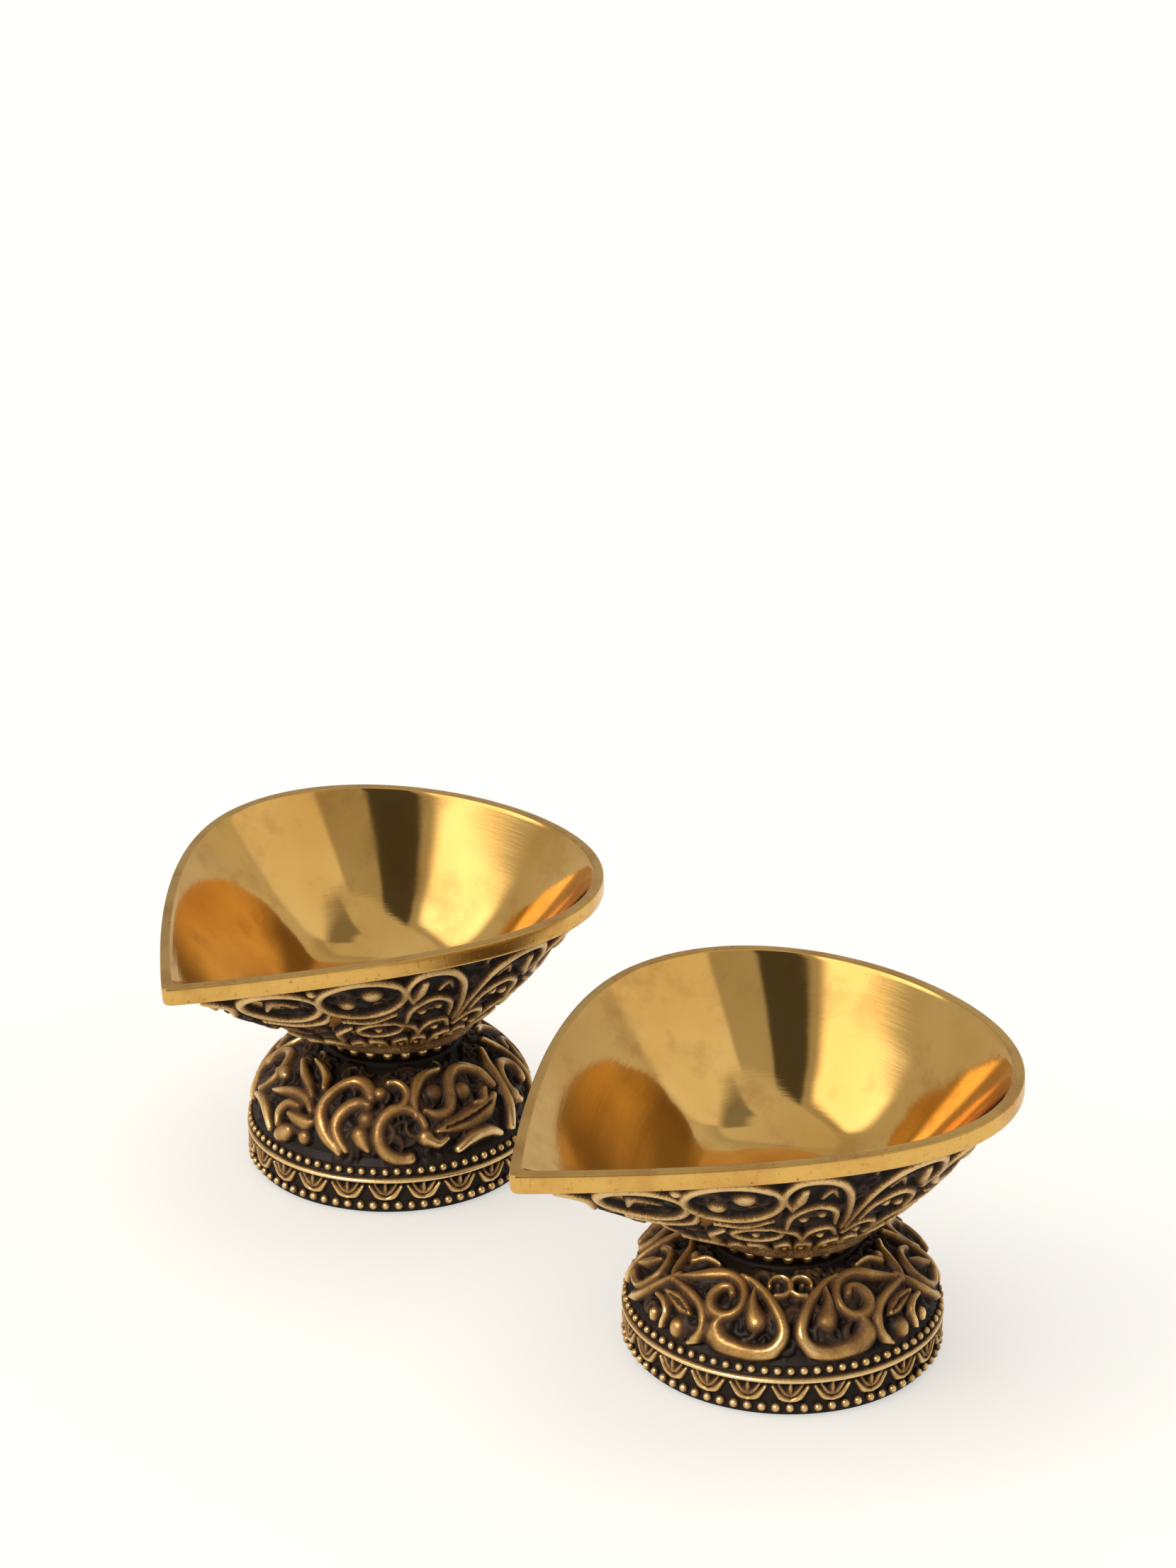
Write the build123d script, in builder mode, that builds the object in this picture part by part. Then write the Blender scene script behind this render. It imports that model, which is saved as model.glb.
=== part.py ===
"""Pair of footed brass oil lamps, each a spouted bowl screwed to a hollow domed pedestal.

Millimetres, +Z up.  The pair stands on Z = 0 and its origin is the middle of the table area
that it covers.  The two lamps share every size but the height of the dome, which the caster
made taller on the rear one.  A lamp's own frame has its origin under the pedestal's axis and
its X axis along the spout.
"""

import os
from math import cos, pi, radians, sin

from build123d import *

# Where the lamps stand, and which way their spouts point (degrees from +X).
LAMP_PLACES = {
    "front": {"x": 29.41, "y": -27.13, "yaw": -138.5, "dome_extra": 0.0},
    "rear": {"x": -28.07, "y": 30.27, "yaw": -126.5, "dome_extra": 3.0},
}

# Bowl: a pear-shaped cup with a round back and a pouring tip for the wick.
RIM_BACK = 27.2  # from the lamp's axis to the back of the rim
RIM_HALF_WIDTH = 33.8
RIM_WIDEST = -1.9  # where along the spout axis the rim is widest
RIM_TIP = 50.0  # from the lamp's axis to the tip
TIP_HALF_ANGLE = 45.0
RIM_BAND_HEIGHT = 3.0
RIM_BAND_PROUD = 0.8  # how far the smooth band stands out from the wall
LIP_WIDTH = 1.5  # flat top of the rim
RIM_FALL = 3.3  # the rim dips this many degrees towards the spout
BOWL_HEIGHT = 25.8  # foot ring to rim, on the axis
FLOOR_THICKNESS = 5.1  # under the middle of the cup, foot ring included
WALL_CURVE = 1.25  # 1 is a straight cone, more is a rounder wall
FOOT_RING_RADIUS = 13.0
FOOT_RING_HEIGHT = 1.6
FOOT_RING_STEP = 0.6  # from the ring in to the bottom of the wall
BAND_OVERLAP = 0.5  # how far the wall runs up behind the band
CUP_FLOOR_RADIUS = 9.0

# Beaded collar between the bowl and the pedestal.
COLLAR_HEIGHT = 2.5
COLLAR_RADIUS = 10.0
COLLAR_BEADS = 24
COLLAR_BEAD_RADIUS = 1.0
SPIGOT_RADIUS = 5.9
SPIGOT_LENGTH = 1.9
SLIP_CLEARANCE = 0.05

# Pedestal: a hollow dome on a straight band, with a row of beads at each edge of the band.
BASE_RADIUS = 22.2
BAND_HEIGHT = 7.8
DOME_TOP = 16.4
DOME_TOP_RADIUS = 12.2
SHOULDER = ((22.2, 9.4), (21.2, 12.0), (19.2, 14.1), (16.2, 15.7))  # radius, height
PEDESTAL_WALL = 2.8
BEADS_PER_ROW = 72
BEAD_RADIUS = 0.85
BEAD_ROWS = ((21.95, 1.3), (22.0, 6.9))  # ring radius, height

# M5 hardware inside the pedestal.
STUD_RADIUS = 2.5
STUD_TOP = 3.3  # how deep the stud goes into the bowl
STUD_BELOW_NUT = 1.2
WASHER_RADIUS = 5.0
WASHER_THICKNESS = 1.0
NUT_ACROSS_FLATS = 8.0
NUT_HEIGHT = 4.0

CIRCLE_HANDLE = 0.5523  # Bezier handle of a quarter circle, as a share of its radius


def circle_outline(radius):
    """A round outline written in the same numbers as the rim."""
    handle = CIRCLE_HANDLE * radius
    return {
        "back": radius, "half": radius, "widest": 0.0, "tip": radius, "nose": 90.0,
        "back_handle": handle, "rear_handle": handle, "fore_handle": handle, "tip_handle": handle,
    }


def rim_outline(inset):
    """The pear-shaped rim, moved inwards by inset."""
    return {
        "back": RIM_BACK - inset,
        "half": RIM_HALF_WIDTH - inset,
        "widest": RIM_WIDEST,
        "tip": RIM_TIP - inset / sin(radians(TIP_HALF_ANGLE)),
        "nose": TIP_HALF_ANGLE,
        "back_handle": 0.53 * (RIM_HALF_WIDTH - inset),
        "rear_handle": 0.63 * (RIM_BACK - inset + RIM_WIDEST),
        "fore_handle": 0.32 * (RIM_TIP - RIM_WIDEST - inset),
        "tip_handle": 0.333 * (RIM_TIP - RIM_WIDEST - inset),
    }


def between(start, end, share):
    """The outline that is a given share of the way from one outline to another."""
    return {key: start[key] + (end[key] - start[key]) * share for key in start}


def half_outline(plane, shape):
    """The half of an outline on one side of the spout axis, closed along that axis."""
    nose = radians(shape["nose"])
    near_tip = (shape["tip"] - shape["tip_handle"] * cos(nose), shape["tip_handle"] * sin(nose))
    with BuildSketch(plane) as outline:
        with BuildLine():
            Bezier(
                (shape["tip"], 0),
                near_tip,
                (shape["widest"] + shape["fore_handle"], shape["half"]),
                (shape["widest"], shape["half"]),
            )
            Bezier(
                (shape["widest"], shape["half"]),
                (shape["widest"] - shape["rear_handle"], shape["half"]),
                (-shape["back"], shape["back_handle"]),
                (-shape["back"], 0),
            )
            Line((-shape["back"], 0), (shape["tip"], 0))
        make_face()
    return outline.sketch


def lamp_plane(place, height=0.0, fall=0.0):
    """A plane across one lamp at a height, dipping towards the spout by fall degrees."""
    yaw, dip = radians(place["yaw"]), radians(fall)
    return Plane(
        origin=(place["x"], place["y"], height),
        x_dir=(cos(yaw) * cos(dip), sin(yaw) * cos(dip), -sin(dip)),
        z_dir=(cos(yaw) * sin(dip), sin(yaw) * sin(dip), cos(dip)),
    )


def lamp_side_plane(place):
    """The upright plane through one lamp's axis, for profiles of radius and height."""
    yaw = radians(place["yaw"])
    return Plane(
        origin=(place["x"], place["y"], 0),
        x_dir=(cos(yaw), sin(yaw), 0),
        z_dir=(sin(yaw), -cos(yaw), 0),
    )


def wall_sections(place, bottom, low_z, top, top_z, steps=5):
    """Half outlines up a wall from a round bottom to the dipping rim, evenly spread."""
    sections = []
    for step in range(steps):
        share = step / (steps - 1)
        rise = share**WALL_CURVE
        plane = lamp_plane(place, low_z + (top_z - low_z) * rise, RIM_FALL * rise)
        sections.append(half_outline(plane, between(bottom, top, share)))
    return sections


def make_bowl(place, foot_z):
    """Cast bowl: pear-shaped wall, smooth rim band, foot ring and tapped spigot."""
    rim_z = foot_z + BOWL_HEIGHT
    band_low = rim_z - RIM_BAND_HEIGHT
    outside = wall_sections(
        place, circle_outline(FOOT_RING_RADIUS - FOOT_RING_STEP), foot_z + FOOT_RING_HEIGHT / 2,
        rim_outline(RIM_BAND_PROUD), band_low + BAND_OVERLAP,
    )
    inside = wall_sections(
        place, circle_outline(CUP_FLOOR_RADIUS), foot_z + FLOOR_THICKNESS,
        rim_outline(LIP_WIDTH), rim_z,
    )
    with BuildPart() as bowl:
        loft(sections=outside)
        add(half_outline(lamp_plane(place, band_low, RIM_FALL), rim_outline(0.0)))
        extrude(amount=RIM_BAND_HEIGHT)
        loft(sections=inside, mode=Mode.SUBTRACT)
        mirror(about=lamp_side_plane(place))
        with BuildSketch(lamp_plane(place, foot_z)):
            Circle(FOOT_RING_RADIUS)
        extrude(amount=FOOT_RING_HEIGHT)
        with BuildSketch(lamp_plane(place, foot_z)):
            Circle(SPIGOT_RADIUS)
        extrude(amount=-SPIGOT_LENGTH)
        with BuildSketch(lamp_plane(place, foot_z - SPIGOT_LENGTH)):
            Circle(STUD_RADIUS + SLIP_CLEARANCE)
        extrude(amount=SPIGOT_LENGTH + STUD_TOP, mode=Mode.SUBTRACT)
    return bowl


def make_collar(place, low_z):
    """Plain ring with a row of beads round its waist."""
    with BuildPart() as collar:
        with BuildSketch(lamp_plane(place, low_z)):
            Circle(COLLAR_RADIUS)
            Circle(SPIGOT_RADIUS + SLIP_CLEARANCE, mode=Mode.SUBTRACT)
        extrude(amount=COLLAR_HEIGHT)
        with Locations(lamp_plane(place, low_z + COLLAR_HEIGHT / 2).location):
            with PolarLocations(COLLAR_RADIUS, COLLAR_BEADS):
                Sphere(COLLAR_BEAD_RADIUS)
    return collar


def make_pedestal(place):
    """Hollow domed casting on a straight band edged with beads."""
    extra = place["dome_extra"]
    stretch = (DOME_TOP + extra - BAND_HEIGHT) / (DOME_TOP - BAND_HEIGHT)
    shoulder = [(r, BAND_HEIGHT + (z - BAND_HEIGHT) * stretch) for r, z in SHOULDER]
    top_z, hollow_z = DOME_TOP + extra, DOME_TOP + extra - PEDESTAL_WALL
    hollow_radius = BASE_RADIUS - PEDESTAL_WALL
    with BuildPart() as pedestal:
        with BuildSketch(lamp_side_plane(place)):
            with BuildLine():
                start = Polyline((hollow_radius, 0), (BASE_RADIUS, 0), (BASE_RADIUS, BAND_HEIGHT))
                dome = Spline(start @ 1, *shoulder, (DOME_TOP_RADIUS, top_z))
                inside = Polyline(
                    dome @ 1, (STUD_RADIUS + SLIP_CLEARANCE, top_z),
                    (STUD_RADIUS + SLIP_CLEARANCE, hollow_z), (DOME_TOP_RADIUS - 1, hollow_z),
                )
                Spline(
                    inside @ 1, (hollow_radius - 2.4, hollow_z - 2.6), (hollow_radius, BAND_HEIGHT),
                )
                Line((hollow_radius, BAND_HEIGHT), (hollow_radius, 0))
            make_face()
        revolve(axis=Axis((place["x"], place["y"], 0), (0, 0, 1)))
        for ring_radius, height in BEAD_ROWS:
            with Locations(lamp_plane(place, height).location):
                with PolarLocations(ring_radius, BEADS_PER_ROW):
                    Sphere(BEAD_RADIUS)
    return pedestal


def make_stud(place, low_z, high_z):
    """Headless M5 stud that draws the bowl down on the pedestal."""
    with BuildPart() as stud:
        with BuildSketch(lamp_plane(place, low_z)):
            Circle(STUD_RADIUS)
        extrude(amount=high_z - low_z)
        chamfer(stud.faces().sort_by(Axis.Z)[0].edges(), 0.5)
    return stud


def make_washer(place, low_z):
    """Flat washer under the pedestal's top."""
    with BuildPart() as washer:
        with BuildSketch(lamp_plane(place, low_z)):
            Circle(WASHER_RADIUS)
            Circle(STUD_RADIUS + SLIP_CLEARANCE, mode=Mode.SUBTRACT)
        extrude(amount=WASHER_THICKNESS)
    return washer


def make_nut(place, low_z):
    """Hexagon nut with its corners turned down."""
    corner_radius = NUT_ACROSS_FLATS / 2 / cos(pi / 6)
    with BuildPart() as nut:
        with BuildSketch(lamp_plane(place, low_z)):
            RegularPolygon(corner_radius, 6)
        extrude(amount=NUT_HEIGHT)
        with BuildSketch(lamp_plane(place, low_z)):
            Circle(corner_radius - 0.15)
        extrude(amount=NUT_HEIGHT, taper=-8, mode=Mode.INTERSECT)
        with BuildSketch(lamp_plane(place, low_z)):
            Circle(STUD_RADIUS + SLIP_CLEARANCE)
        extrude(amount=NUT_HEIGHT, mode=Mode.SUBTRACT)
    return nut


def make_lamp(place):
    """Every separate piece of one lamp, by its plain name."""
    top_z = DOME_TOP + place["dome_extra"]
    foot_z = top_z + COLLAR_HEIGHT
    washer_z = top_z - PEDESTAL_WALL - WASHER_THICKNESS
    nut_z = washer_z - NUT_HEIGHT
    return {
        "bowl": make_bowl(place, foot_z),
        "beaded_collar": make_collar(place, top_z),
        "pedestal": make_pedestal(place),
        "tie_stud": make_stud(place, nut_z - STUD_BELOW_NUT, foot_z + STUD_TOP),
        "washer": make_washer(place, washer_z),
        "nut": make_nut(place, nut_z),
    }


os.makedirs("parts", exist_ok=True)
for lamp_name, lamp_place in LAMP_PLACES.items():
    for piece_name, piece in make_lamp(lamp_place).items():
        piece.part.label = f"{lamp_name}_{piece_name}"
        export_step(piece.part, f"parts/{piece.part.label}.step")
        box = piece.part.bounding_box()
        print(piece.part.label, round(piece.part.volume, 1), box.min, box.max)
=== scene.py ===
"""Pair of footed brass oil lamps, dressed for a plain studio picture.

Each lamp is a mirror-polished spouted bowl with a relief-cast outside, on a beaded collar and a
hollow domed pedestal, drawn together by a stud, washer and nut.  Lengths are millimetres until a
mesh is made, which is in metres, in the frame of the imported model.
"""

import logging
import math
from dataclasses import dataclass, field, replace
from enum import Enum
from typing import Any, Iterable

import bpy
import numpy as np
from mathutils import Matrix, Vector


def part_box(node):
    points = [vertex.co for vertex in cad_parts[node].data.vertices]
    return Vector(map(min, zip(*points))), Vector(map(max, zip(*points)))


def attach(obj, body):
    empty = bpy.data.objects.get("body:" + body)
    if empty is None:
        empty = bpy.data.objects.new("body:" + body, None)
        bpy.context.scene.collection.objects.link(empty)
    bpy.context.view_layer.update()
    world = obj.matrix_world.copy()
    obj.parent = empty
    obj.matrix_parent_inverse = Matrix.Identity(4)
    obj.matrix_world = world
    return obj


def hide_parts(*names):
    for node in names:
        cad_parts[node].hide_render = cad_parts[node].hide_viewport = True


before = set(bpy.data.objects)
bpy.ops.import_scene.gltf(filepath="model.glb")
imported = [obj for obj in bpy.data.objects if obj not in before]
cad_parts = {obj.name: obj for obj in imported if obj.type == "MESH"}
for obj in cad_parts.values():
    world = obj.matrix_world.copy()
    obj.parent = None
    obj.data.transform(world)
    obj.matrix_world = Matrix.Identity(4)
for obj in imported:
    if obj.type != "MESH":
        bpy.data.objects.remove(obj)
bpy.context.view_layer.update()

MM = 0.001
LOG = logging.getLogger("oil_lamps")
Value = Any
Colour = tuple[float, float, float, float]


# Shader arithmetic -----------------------------------------------------------------------------


class Signal:
    """A number that flows through a material and takes part in ordinary arithmetic."""

    def __init__(self, shader: "Shader", socket: bpy.types.NodeSocket) -> None:
        """Wraps one output socket.

        Args:
            shader: the material that the socket belongs to.
            socket: the output that carries the number.
        """
        self.shader = shader
        self.socket = socket

    def join(self, operation: str, first: Value, second: Value = 0.0) -> "Signal":
        """Adds one Math node.

        Args:
            operation: the Math node's operation.
            first: its first value or signal.
            second: its second value or signal.

        Returns:
            The node's result.
        """
        node = self.shader.node("ShaderNodeMath", {"operation": operation}, {0: first, 1: second})
        return Signal(self.shader, node.outputs[0])

    def __add__(self, other: Value) -> "Signal":
        """self + other."""
        return self.join("ADD", self, other)

    def __sub__(self, other: Value) -> "Signal":
        """self - other."""
        return self.join("SUBTRACT", self, other)

    def __rsub__(self, other: Value) -> "Signal":
        """other - self."""
        return self.join("SUBTRACT", other, self)

    def __mul__(self, other: Value) -> "Signal":
        """self * other."""
        return self.join("MULTIPLY", self, other)

    __rmul__ = __mul__

    def between(self, low: float, high: float) -> "Signal":
        """Maps low..high to 0..1 with soft ends.

        Args:
            low: the value that becomes 0.
            high: the value that becomes 1.

        Returns:
            The eased signal.
        """
        settings = {"interpolation_type": "SMOOTHSTEP"}
        values = {"Value": self, "From Min": low, "From Max": high}
        node = self.shader.node("ShaderNodeMapRange", settings, values)
        return Signal(self.shader, node.outputs["Result"])

    def clamped(self) -> "Signal":
        """The signal held between 0 and 1."""
        return self.join("MINIMUM", self.join("MAXIMUM", self), 1.0)


class Shader:
    """A node material under construction."""

    def __init__(self, name: str) -> None:
        """Starts an empty material.

        Args:
            name: the material's name.
        """
        self.material = bpy.data.materials.new(name)
        self.material.use_nodes = True
        self.tree = self.material.node_tree
        self.tree.nodes.clear()
        self.body = self.node("ShaderNodeBsdfPrincipled")
        self.node("ShaderNodeOutputMaterial", None, {"Surface": self.body.outputs[0]})

    def node(
        self, kind: str, settings: dict[str, Any] | None = None, values: dict[Any, Value] | None = None
    ) -> bpy.types.Node:
        """Adds any node.

        Args:
            kind: the node's type.
            settings: its properties, set first.
            values: the numbers, colours or links of its sockets, by name or index.

        Returns:
            The new node.
        """
        node = self.tree.nodes.new(kind)
        for key, value in (settings or {}).items():
            setattr(node, key, value)
        for key, value in (values or {}).items():
            self.feed(node.inputs[key], value)
        return node

    def feed(self, socket: bpy.types.NodeSocket, value: Value) -> None:
        """Links a signal or another socket to a socket, or sets a constant on it.

        Args:
            socket: the input that is fed.
            value: a signal, a socket or a constant.
        """
        source = value.socket if isinstance(value, Signal) else value
        if isinstance(source, bpy.types.NodeSocket):
            self.tree.links.new(source, socket)
        else:
            socket.default_value = value

    def surface(self, **values: Value) -> None:
        """Sets the main shader's sockets.

        Args:
            values: a value for each socket; an underscore in a name stands for a space.
        """
        for key, value in values.items():
            self.feed(self.body.inputs[key.replace("_", " ")], value)

    def attribute(self, name: str) -> Signal:
        """A number stored on the mesh."""
        return Signal(self, self.node("ShaderNodeAttribute", {"attribute_name": name}).outputs["Fac"])

    def stored_vector(self, name: str, stretch: tuple[float, float, float]) -> bpy.types.NodeSocket:
        """A direction stored on the mesh, stretched for a lined texture.

        Args:
            name: the mesh attribute.
            stretch: the factor along each axis.

        Returns:
            The stretched vector's socket.
        """
        stored = self.node("ShaderNodeAttribute", {"attribute_name": name})
        values = {0: stored.outputs["Vector"], 1: stretch}
        return self.node("ShaderNodeVectorMath", {"operation": "MULTIPLY"}, values).outputs[0]

    def place(self) -> bpy.types.NodeSocket:
        """Object coordinates."""
        return self.node("ShaderNodeTexCoord").outputs["Object"]

    def noise(
        self, per_mm: float, detail: float = 3.0, rough: float = 0.55, vector: Value = None
    ) -> Signal:
        """Cloudy noise.

        Args:
            per_mm: how many features fit in a millimetre of the object.
            detail: its number of finer layers.
            rough: how strong those layers are.
            vector: a ready vector, which then takes the place of object coordinates.

        Returns:
            The noise, about 0.5 on average.
        """
        place, scale = (self.place(), per_mm / MM) if vector is None else (vector, per_mm)
        values = {"Vector": place, "Scale": scale, "Detail": detail, "Roughness": rough}
        return Signal(self, self.node("ShaderNodeTexNoise", None, values).outputs[0])

    def cells(self, per_mm: float) -> Signal:
        """Distance to the nearest of many scattered points, for pits and specks."""
        values = {"Vector": self.place(), "Scale": per_mm / MM}
        return Signal(self, self.node("ShaderNodeTexVoronoi", None, values).outputs["Distance"])

    def blend(self, share: Value, first: Value, second: Value) -> bpy.types.NodeSocket:
        """A mix of two colours.

        Args:
            share: 0 for the first, 1 for the second.
            first: a colour or a socket.
            second: a colour or a socket.

        Returns:
            The mixed colour's socket.
        """
        node = self.node("ShaderNodeMix", {"data_type": "RGBA"}, {0: share, 6: first, 7: second})
        return node.outputs[2]

    def bump(self, height: Signal, distance_mm: float, strength: float) -> bpy.types.NodeSocket:
        """A Bump node's normal from a height signal, with its full height in millimetres."""
        values = {"Height": height, "Distance": distance_mm * MM, "Strength": strength}
        return self.node("ShaderNodeBump", None, values).outputs["Normal"]


# Finishes --------------------------------------------------------------------------------------


@dataclass(frozen=True)
class MirrorBrass:
    """The cup's polished inside: a yellow mirror with faint wheel marks and handling haze."""

    bright: Colour = (0.88, 0.545, 0.165, 1.0)
    deep: Colour = (0.76, 0.425, 0.105, 1.0)
    haze: Colour = (0.50, 0.24, 0.065, 1.0)
    roughness: float = 0.075

    def material(self) -> bpy.types.Material:
        """Builds the material.

        Returns:
            The finished material.
        """
        shader = Shader("mirror_brass")
        tone = shader.noise(0.05, 2.0)
        film = shader.noise(0.13, 5.0, 0.65).between(0.48, 0.72)
        marks = shader.noise(1.0, 3.0, 0.7, shader.stored_vector("lay", (3.0, 3.0, 90.0)))
        specks = 1.0 - shader.cells(0.55).between(0.03, 0.16)
        colour = shader.blend(tone.between(0.3, 0.7), self.bright, self.deep)
        colour = shader.blend(film * 0.42, colour, self.haze)
        shader.surface(
            Base_Color=colour,
            Metallic=1.0,
            Roughness=(marks - 0.5) * 0.05 + film * 0.06 + specks * 0.05 + self.roughness,
            Normal=shader.bump(marks + shader.noise(0.09, 1.0) * 3.0, 0.035, 0.18),
        )
        return shader.material


@dataclass(frozen=True)
class SatinBrass:
    """The rim band and lip: brushed along the rim, with orange tarnish specks and dark nicks."""

    clean: Colour = (0.68, 0.41, 0.11, 1.0)
    tarnish: Colour = (0.40, 0.155, 0.03, 1.0)
    grime: Colour = (0.10, 0.045, 0.015, 1.0)
    roughness: float = 0.18

    def material(self) -> bpy.types.Material:
        """Builds the material.

        Returns:
            The finished material.
        """
        shader = Shader("satin_brass")
        lines = shader.noise(1.0, 4.0, 0.75, shader.stored_vector("lay", (14.0, 14.0, 260.0)))
        broad = shader.noise(0.12, 3.0).between(0.4, 0.72)
        speck = shader.noise(1.3, 4.0, 0.65).between(0.56, 0.74)
        nick = 1.0 - shader.cells(0.42).between(0.02, 0.10)
        colour = shader.blend((broad * 0.45 + speck * 0.6).clamped(), self.clean, self.tarnish)
        colour = shader.blend(nick * 0.75, colour, self.grime)
        height = lines * 0.8 + speck * 0.3 - nick * 1.2
        shader.surface(
            Base_Color=colour,
            Metallic=1.0,
            Roughness=lines * 0.12 + broad * 0.08 + speck * 0.10 + self.roughness,
            Normal=shader.bump(height, 0.05, 0.5),
        )
        return shader.material


class Casting(Enum):
    """How coarse the sand was that a piece was cast in."""

    FINE = "fine"
    GRAINY = "grainy"


@dataclass(frozen=True)
class AntiqueBrass:
    """Cast relief: black-brown patina in the hollows, gold rubbed ridges, and pale crests that are
    partly worn bare and partly a painted highlight.
    """

    casting: Casting
    black: Colour = (0.011, 0.006, 0.0035, 1.0)
    brown: Colour = (0.105, 0.048, 0.016, 1.0)
    gold: Colour = (0.49, 0.275, 0.085, 1.0)
    # pale: the colour of the highest crests, partly bare rubbed brass and partly a painted highlight
    pale: Colour = (0.92, 0.68, 0.34, 1.0)

    def material(self) -> bpy.types.Material:
        """Builds the material.

        Returns:
            The finished material.
        """
        shader = Shader(f"antique_brass_{self.casting.value}")
        grainy = self.casting is Casting.GRAINY
        rise, wear = shader.attribute("rise"), shader.attribute("wear")
        cloud = shader.noise(0.28, 4.0, 0.6)
        grain = shader.noise(3.4 if grainy else 2.6, 4.0, 0.7)
        broken = (grain - 0.5) * (1.7 if grainy else 0.7) + (cloud - 0.5) * 1.1
        rubbed = (wear + broken * 0.45).between(0.50 if grainy else 0.45, 0.98 if grainy else 0.90)
        flank = (rise * 0.8 + wear * 0.5 + broken * 0.4).between(0.30, 1.05)
        colour = shader.blend(flank, self.black, self.brown)
        colour = shader.blend(rubbed, colour, self.gold)
        # The highest crests are painted pale: partly the most rubbed bare metal, partly a painted
        # highlight on the ridge tops.
        peak_wear_and_highlight = (wear + broken * 0.35).between(0.70, 1.02) * (0.55 if grainy else 0.8)
        colour = shader.blend(peak_wear_and_highlight, colour, self.pale)
        pit = 1.0 - shader.cells(1.1).between(0.05, 0.22)
        height = grain * (1.2 if grainy else 0.5) + cloud * 0.7 - pit * (0.8 if grainy else 0.25)
        shader.surface(
            Base_Color=colour,
            Metallic=flank * 0.32 + rubbed * 0.57 + 0.06,
            Roughness=0.56 - rubbed * 0.28 + (grain - 0.5) * 0.16,
            Specular_IOR_Level=0.18,
            Normal=shader.bump(height, 0.16 if grainy else 0.08, 0.6),
        )
        return shader.material


@dataclass(frozen=True)
class PlatedSteel:
    """Dull zinc on the stud, washer and nut."""

    zinc: Colour = (0.58, 0.58, 0.56, 1.0)
    stain: Colour = (0.30, 0.24, 0.17, 1.0)

    def material(self) -> bpy.types.Material:
        """Builds the material.

        Returns:
            The finished material.
        """
        shader = Shader("plated_steel")
        stain = shader.noise(0.5, 4.0).between(0.45, 0.75)
        grain = shader.noise(4.0, 2.0)
        shader.surface(
            Base_Color=shader.blend(stain * 0.6, self.zinc, self.stain),
            Metallic=1.0,
            Roughness=grain * 0.2 + stain * 0.2 + 0.25,
            Normal=shader.bump(grain, 0.03, 0.4),
        )
        return shader.material


@dataclass(frozen=True)
class PaleTable:
    """The plain pale surface that the lamps stand on."""

    colour: Colour = (0.60, 0.589, 0.563, 1.0)
    fleck: Colour = (0.57, 0.56, 0.535, 1.0)
    glow: Colour = (1.0, 0.982, 0.939, 1.0)

    def material(self) -> bpy.types.Material:
        """Builds the material.

        Returns:
            The finished material.
        """
        shader = Shader("pale_table")
        shader.surface(
            Base_Color=shader.blend(shader.noise(0.02, 2.0) * 0.04, self.colour, self.fleck),
            Roughness=0.85,
            Specular_IOR_Level=0.0,
            Emission_Color=self.glow,
            Emission_Strength=0.5,
        )
        return shader.material


# Meshes ----------------------------------------------------------------------------------------


@dataclass
class Skin:
    """Rows and columns of places that wrap round a piece, and what is stored on them.

    The columns always wrap.  The rows wrap too when looped is true; otherwise each end row is
    closed by a fan round its middle.  bands gives the rows that take each finish in turn.
    """

    rows: np.ndarray
    looped: bool = False
    marks: dict[str, np.ndarray] = field(default_factory=dict)
    bands: tuple[tuple[int, int], ...] = ()

    def listed(self, grid: np.ndarray) -> np.ndarray:
        """Writes a grid as a list, then the averages of its end rows if fans close them.

        Args:
            grid: a value or a place for each row and column.

        Returns:
            One line for each of the skin's corners.
        """
        count, around = grid.shape[:2]
        flat = grid.reshape(count * around, -1)
        if self.looped:
            return flat
        return np.vstack([flat, flat[:around].mean(0), flat[-around:].mean(0)])

    def faces(self, start: int) -> tuple[list[list[int]], list[int]]:
        """Joins the corners into faces.

        Args:
            start: the number of the first corner.

        Returns:
            The faces, and the number of each one's finish.
        """
        count, around = self.rows.shape[:2]
        index = start + np.arange(count * around).reshape(count, around)
        lower = index if self.looped else index[:-1]
        upper = np.roll(index, -1, axis=0) if self.looped else index[1:]
        quads = np.stack([lower, np.roll(lower, -1, 1), np.roll(upper, -1, 1), upper], -1)
        faces = quads.reshape(-1, 4).tolist()
        slots = np.zeros(len(faces), int)
        for number, (first, last) in enumerate(self.bands):
            slots[first * around:last * around] = number
        slots = slots.tolist()
        if not self.looped:
            middle = np.full(around, start + count * around)
            for ring, after in ((np.roll(index[0], -1), index[0]), (index[-1], np.roll(index[-1], -1))):
                faces += np.stack([ring, after, middle], -1).tolist()
                middle = middle + 1
            slots += [slots[0]] * around + [slots[-1]] * around
        return faces, slots


def joined_mesh(skins: Iterable[Skin]) -> bpy.types.Mesh:
    """Makes one mesh of closed skins that carry the same kinds of marks.

    Args:
        skins: the skins, in mm.

    Returns:
        The mesh, in metres, with its stored marks.
    """
    places, faces, slots = [], [], []
    marks: dict[str, list[np.ndarray]] = {}
    start = 0
    for skin in skins:
        places.append(skin.listed(skin.rows))
        skin_faces, skin_slots = skin.faces(start)
        faces += skin_faces
        slots += skin_slots
        start += len(places[-1])
        for key, grid in skin.marks.items():
            marks.setdefault(key, []).append(skin.listed(grid))
    mesh = bpy.data.meshes.new("skin")
    mesh.from_pydata((np.vstack(places) * MM).tolist(), [], faces)
    mesh.polygons.foreach_set("use_smooth", [True] * len(faces))
    mesh.polygons.foreach_set("material_index", slots)
    for key, lists in marks.items():
        values = np.vstack(lists)
        kind, name = ("FLOAT_VECTOR", "vector") if values.shape[1] == 3 else ("FLOAT", "value")
        mesh.attributes.new(key, kind, "POINT").data.foreach_set(name, values.ravel())
    mesh.update()
    face_outward(mesh)
    return mesh


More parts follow.
